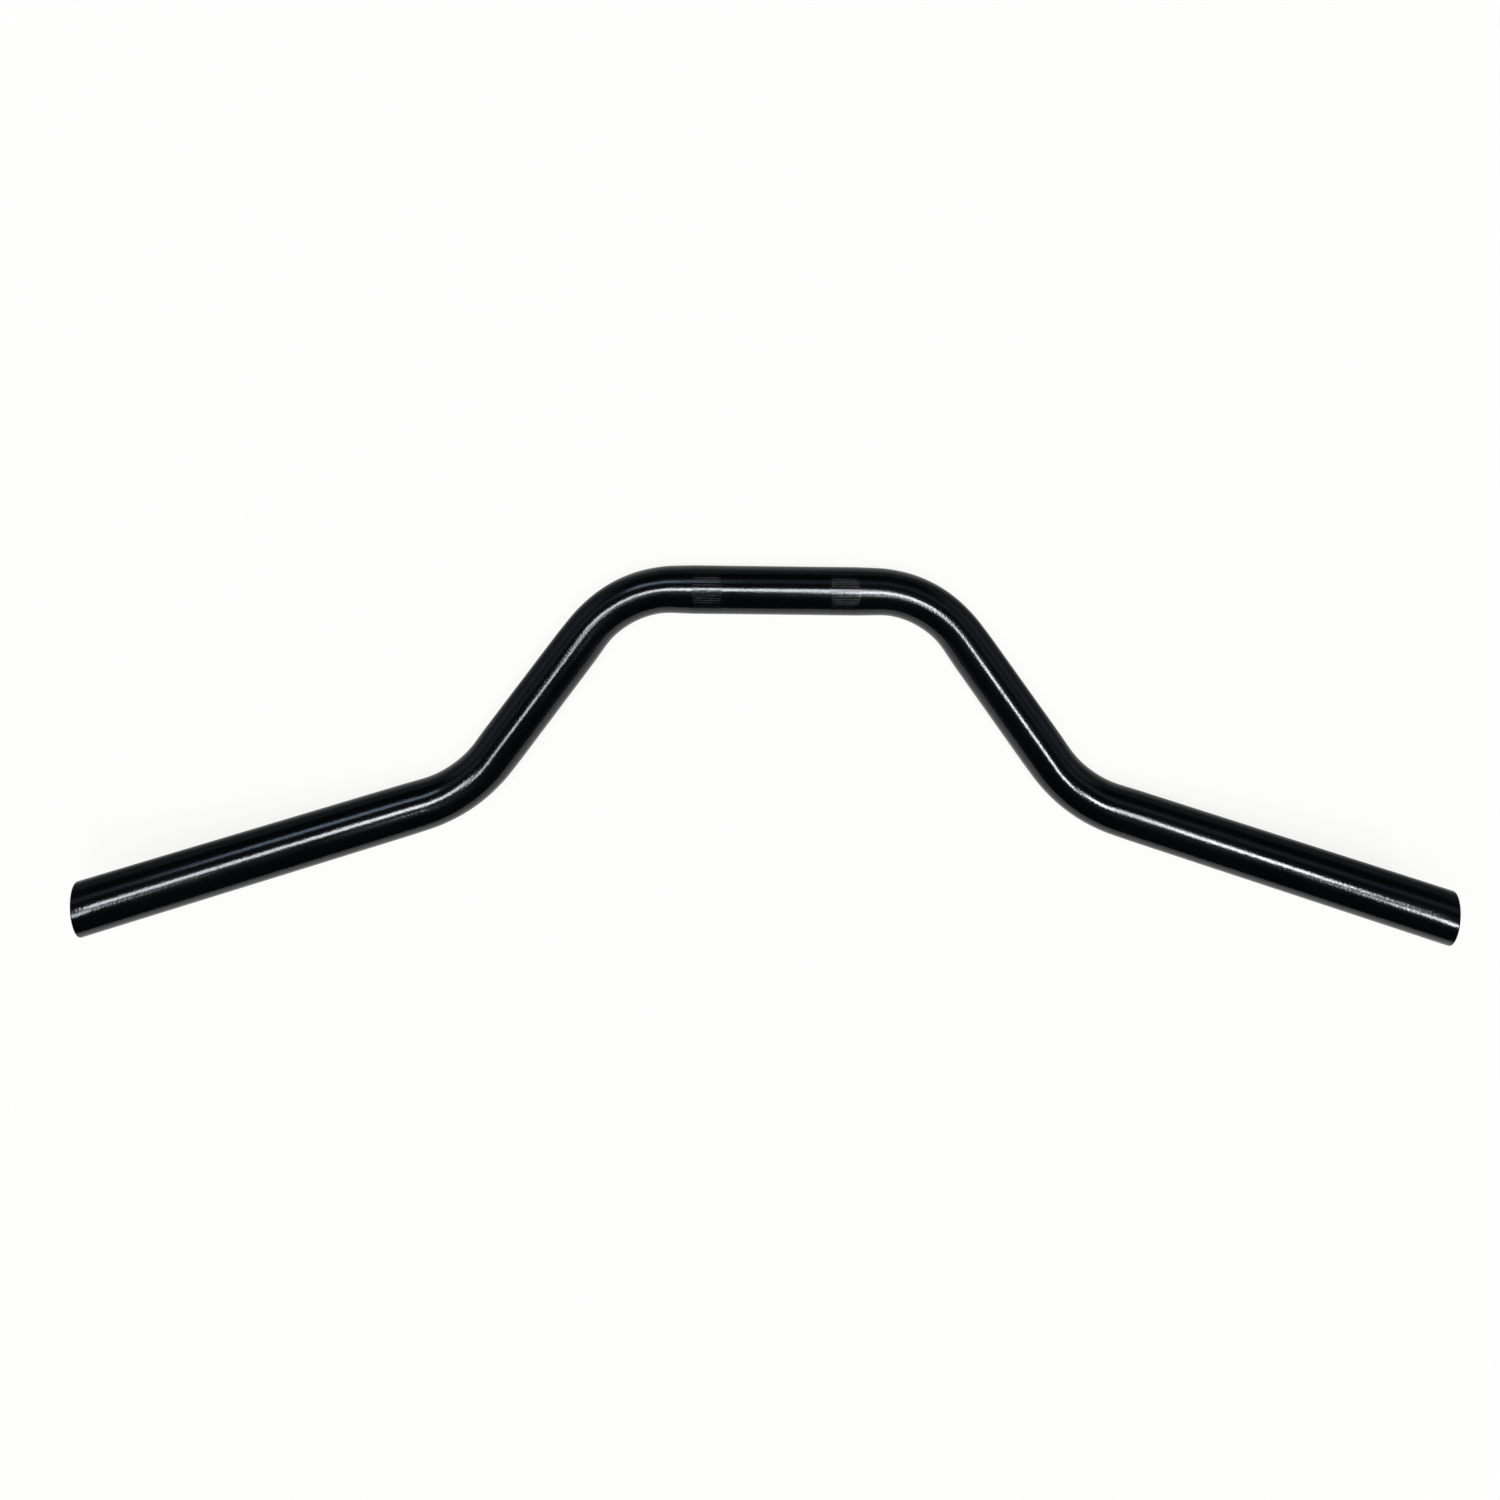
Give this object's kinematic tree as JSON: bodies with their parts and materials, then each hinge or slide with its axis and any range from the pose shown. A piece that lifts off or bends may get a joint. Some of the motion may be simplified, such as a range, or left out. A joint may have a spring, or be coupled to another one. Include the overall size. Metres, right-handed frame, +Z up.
{
  "type": "bicycle handlebar",
  "caption": "One-piece bent steel tube handlebar with a straight clamp stretch, knurled bands, angled legs and swept grips, for steering a bicycle.",
  "frame": {"origin": "middle of the clamp stretch, on the tube's centreline", "axes": "+X along the clamp stretch, -Y towards the grips, +Z up from the surface that the bar lies on. The clamp stretch and the legs are level and the grips rise"},
  "size_m": [0.5998, 0.1523, 0.0578],
  "materials": {
    "black_coat": "semi-gloss black coat on steel tube"
  },
  "bodies": {
    "root": {"handlebar": "black_coat"}
  },
  "joints": []
}
